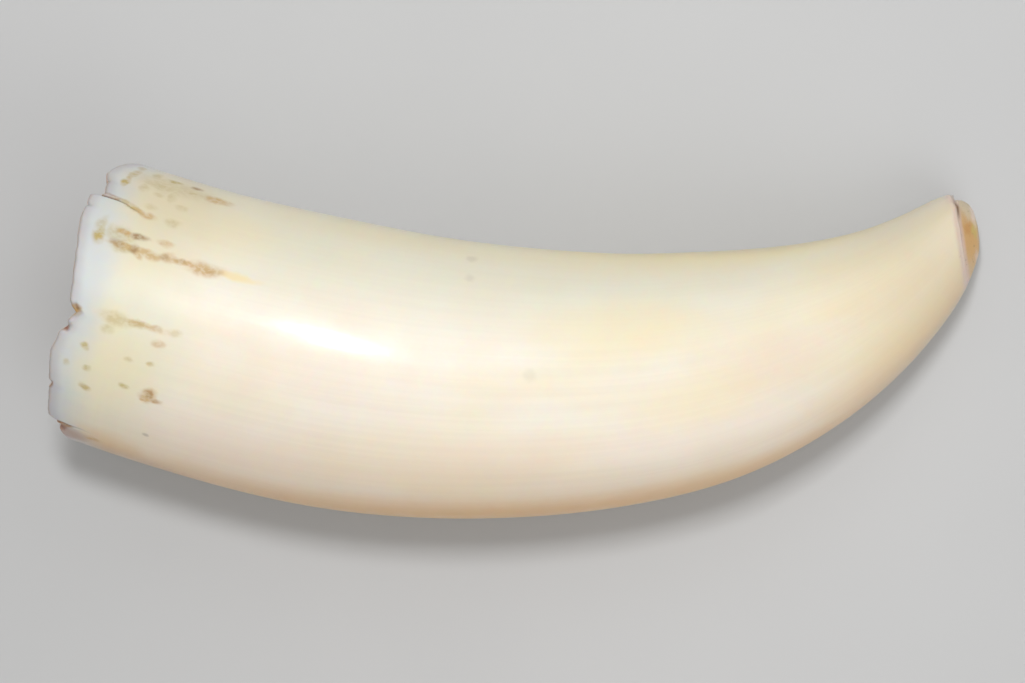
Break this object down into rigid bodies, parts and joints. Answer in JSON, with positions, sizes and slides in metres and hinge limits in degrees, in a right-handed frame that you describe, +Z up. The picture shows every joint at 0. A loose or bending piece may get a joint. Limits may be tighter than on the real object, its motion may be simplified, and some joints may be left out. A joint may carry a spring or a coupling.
{
  "type": "sperm whale tooth",
  "caption": "Curved, polished whale tooth lying on its side, with an open chipped root round a conical pulp cavity and a flaked point.",
  "frame": {"origin": "under the middle of the tooth's bounding box, on the surface that it lies on", "axes": "+X from the root towards the point, along the tooth's length; +Y towards the hollow side of its bend; +Z up"},
  "size_m": [0.166, 0.0628, 0.0433],
  "materials": {
    "dentine": "old polished dentine, warm cream with a soft gloss, bluish white and slightly see-through at the thin rim, olive and brown stains along fine cracks near the root, amber brown where the point has flaked"
  },
  "bodies": {
    "root": {"tooth": "dentine"}
  },
  "joints": []
}
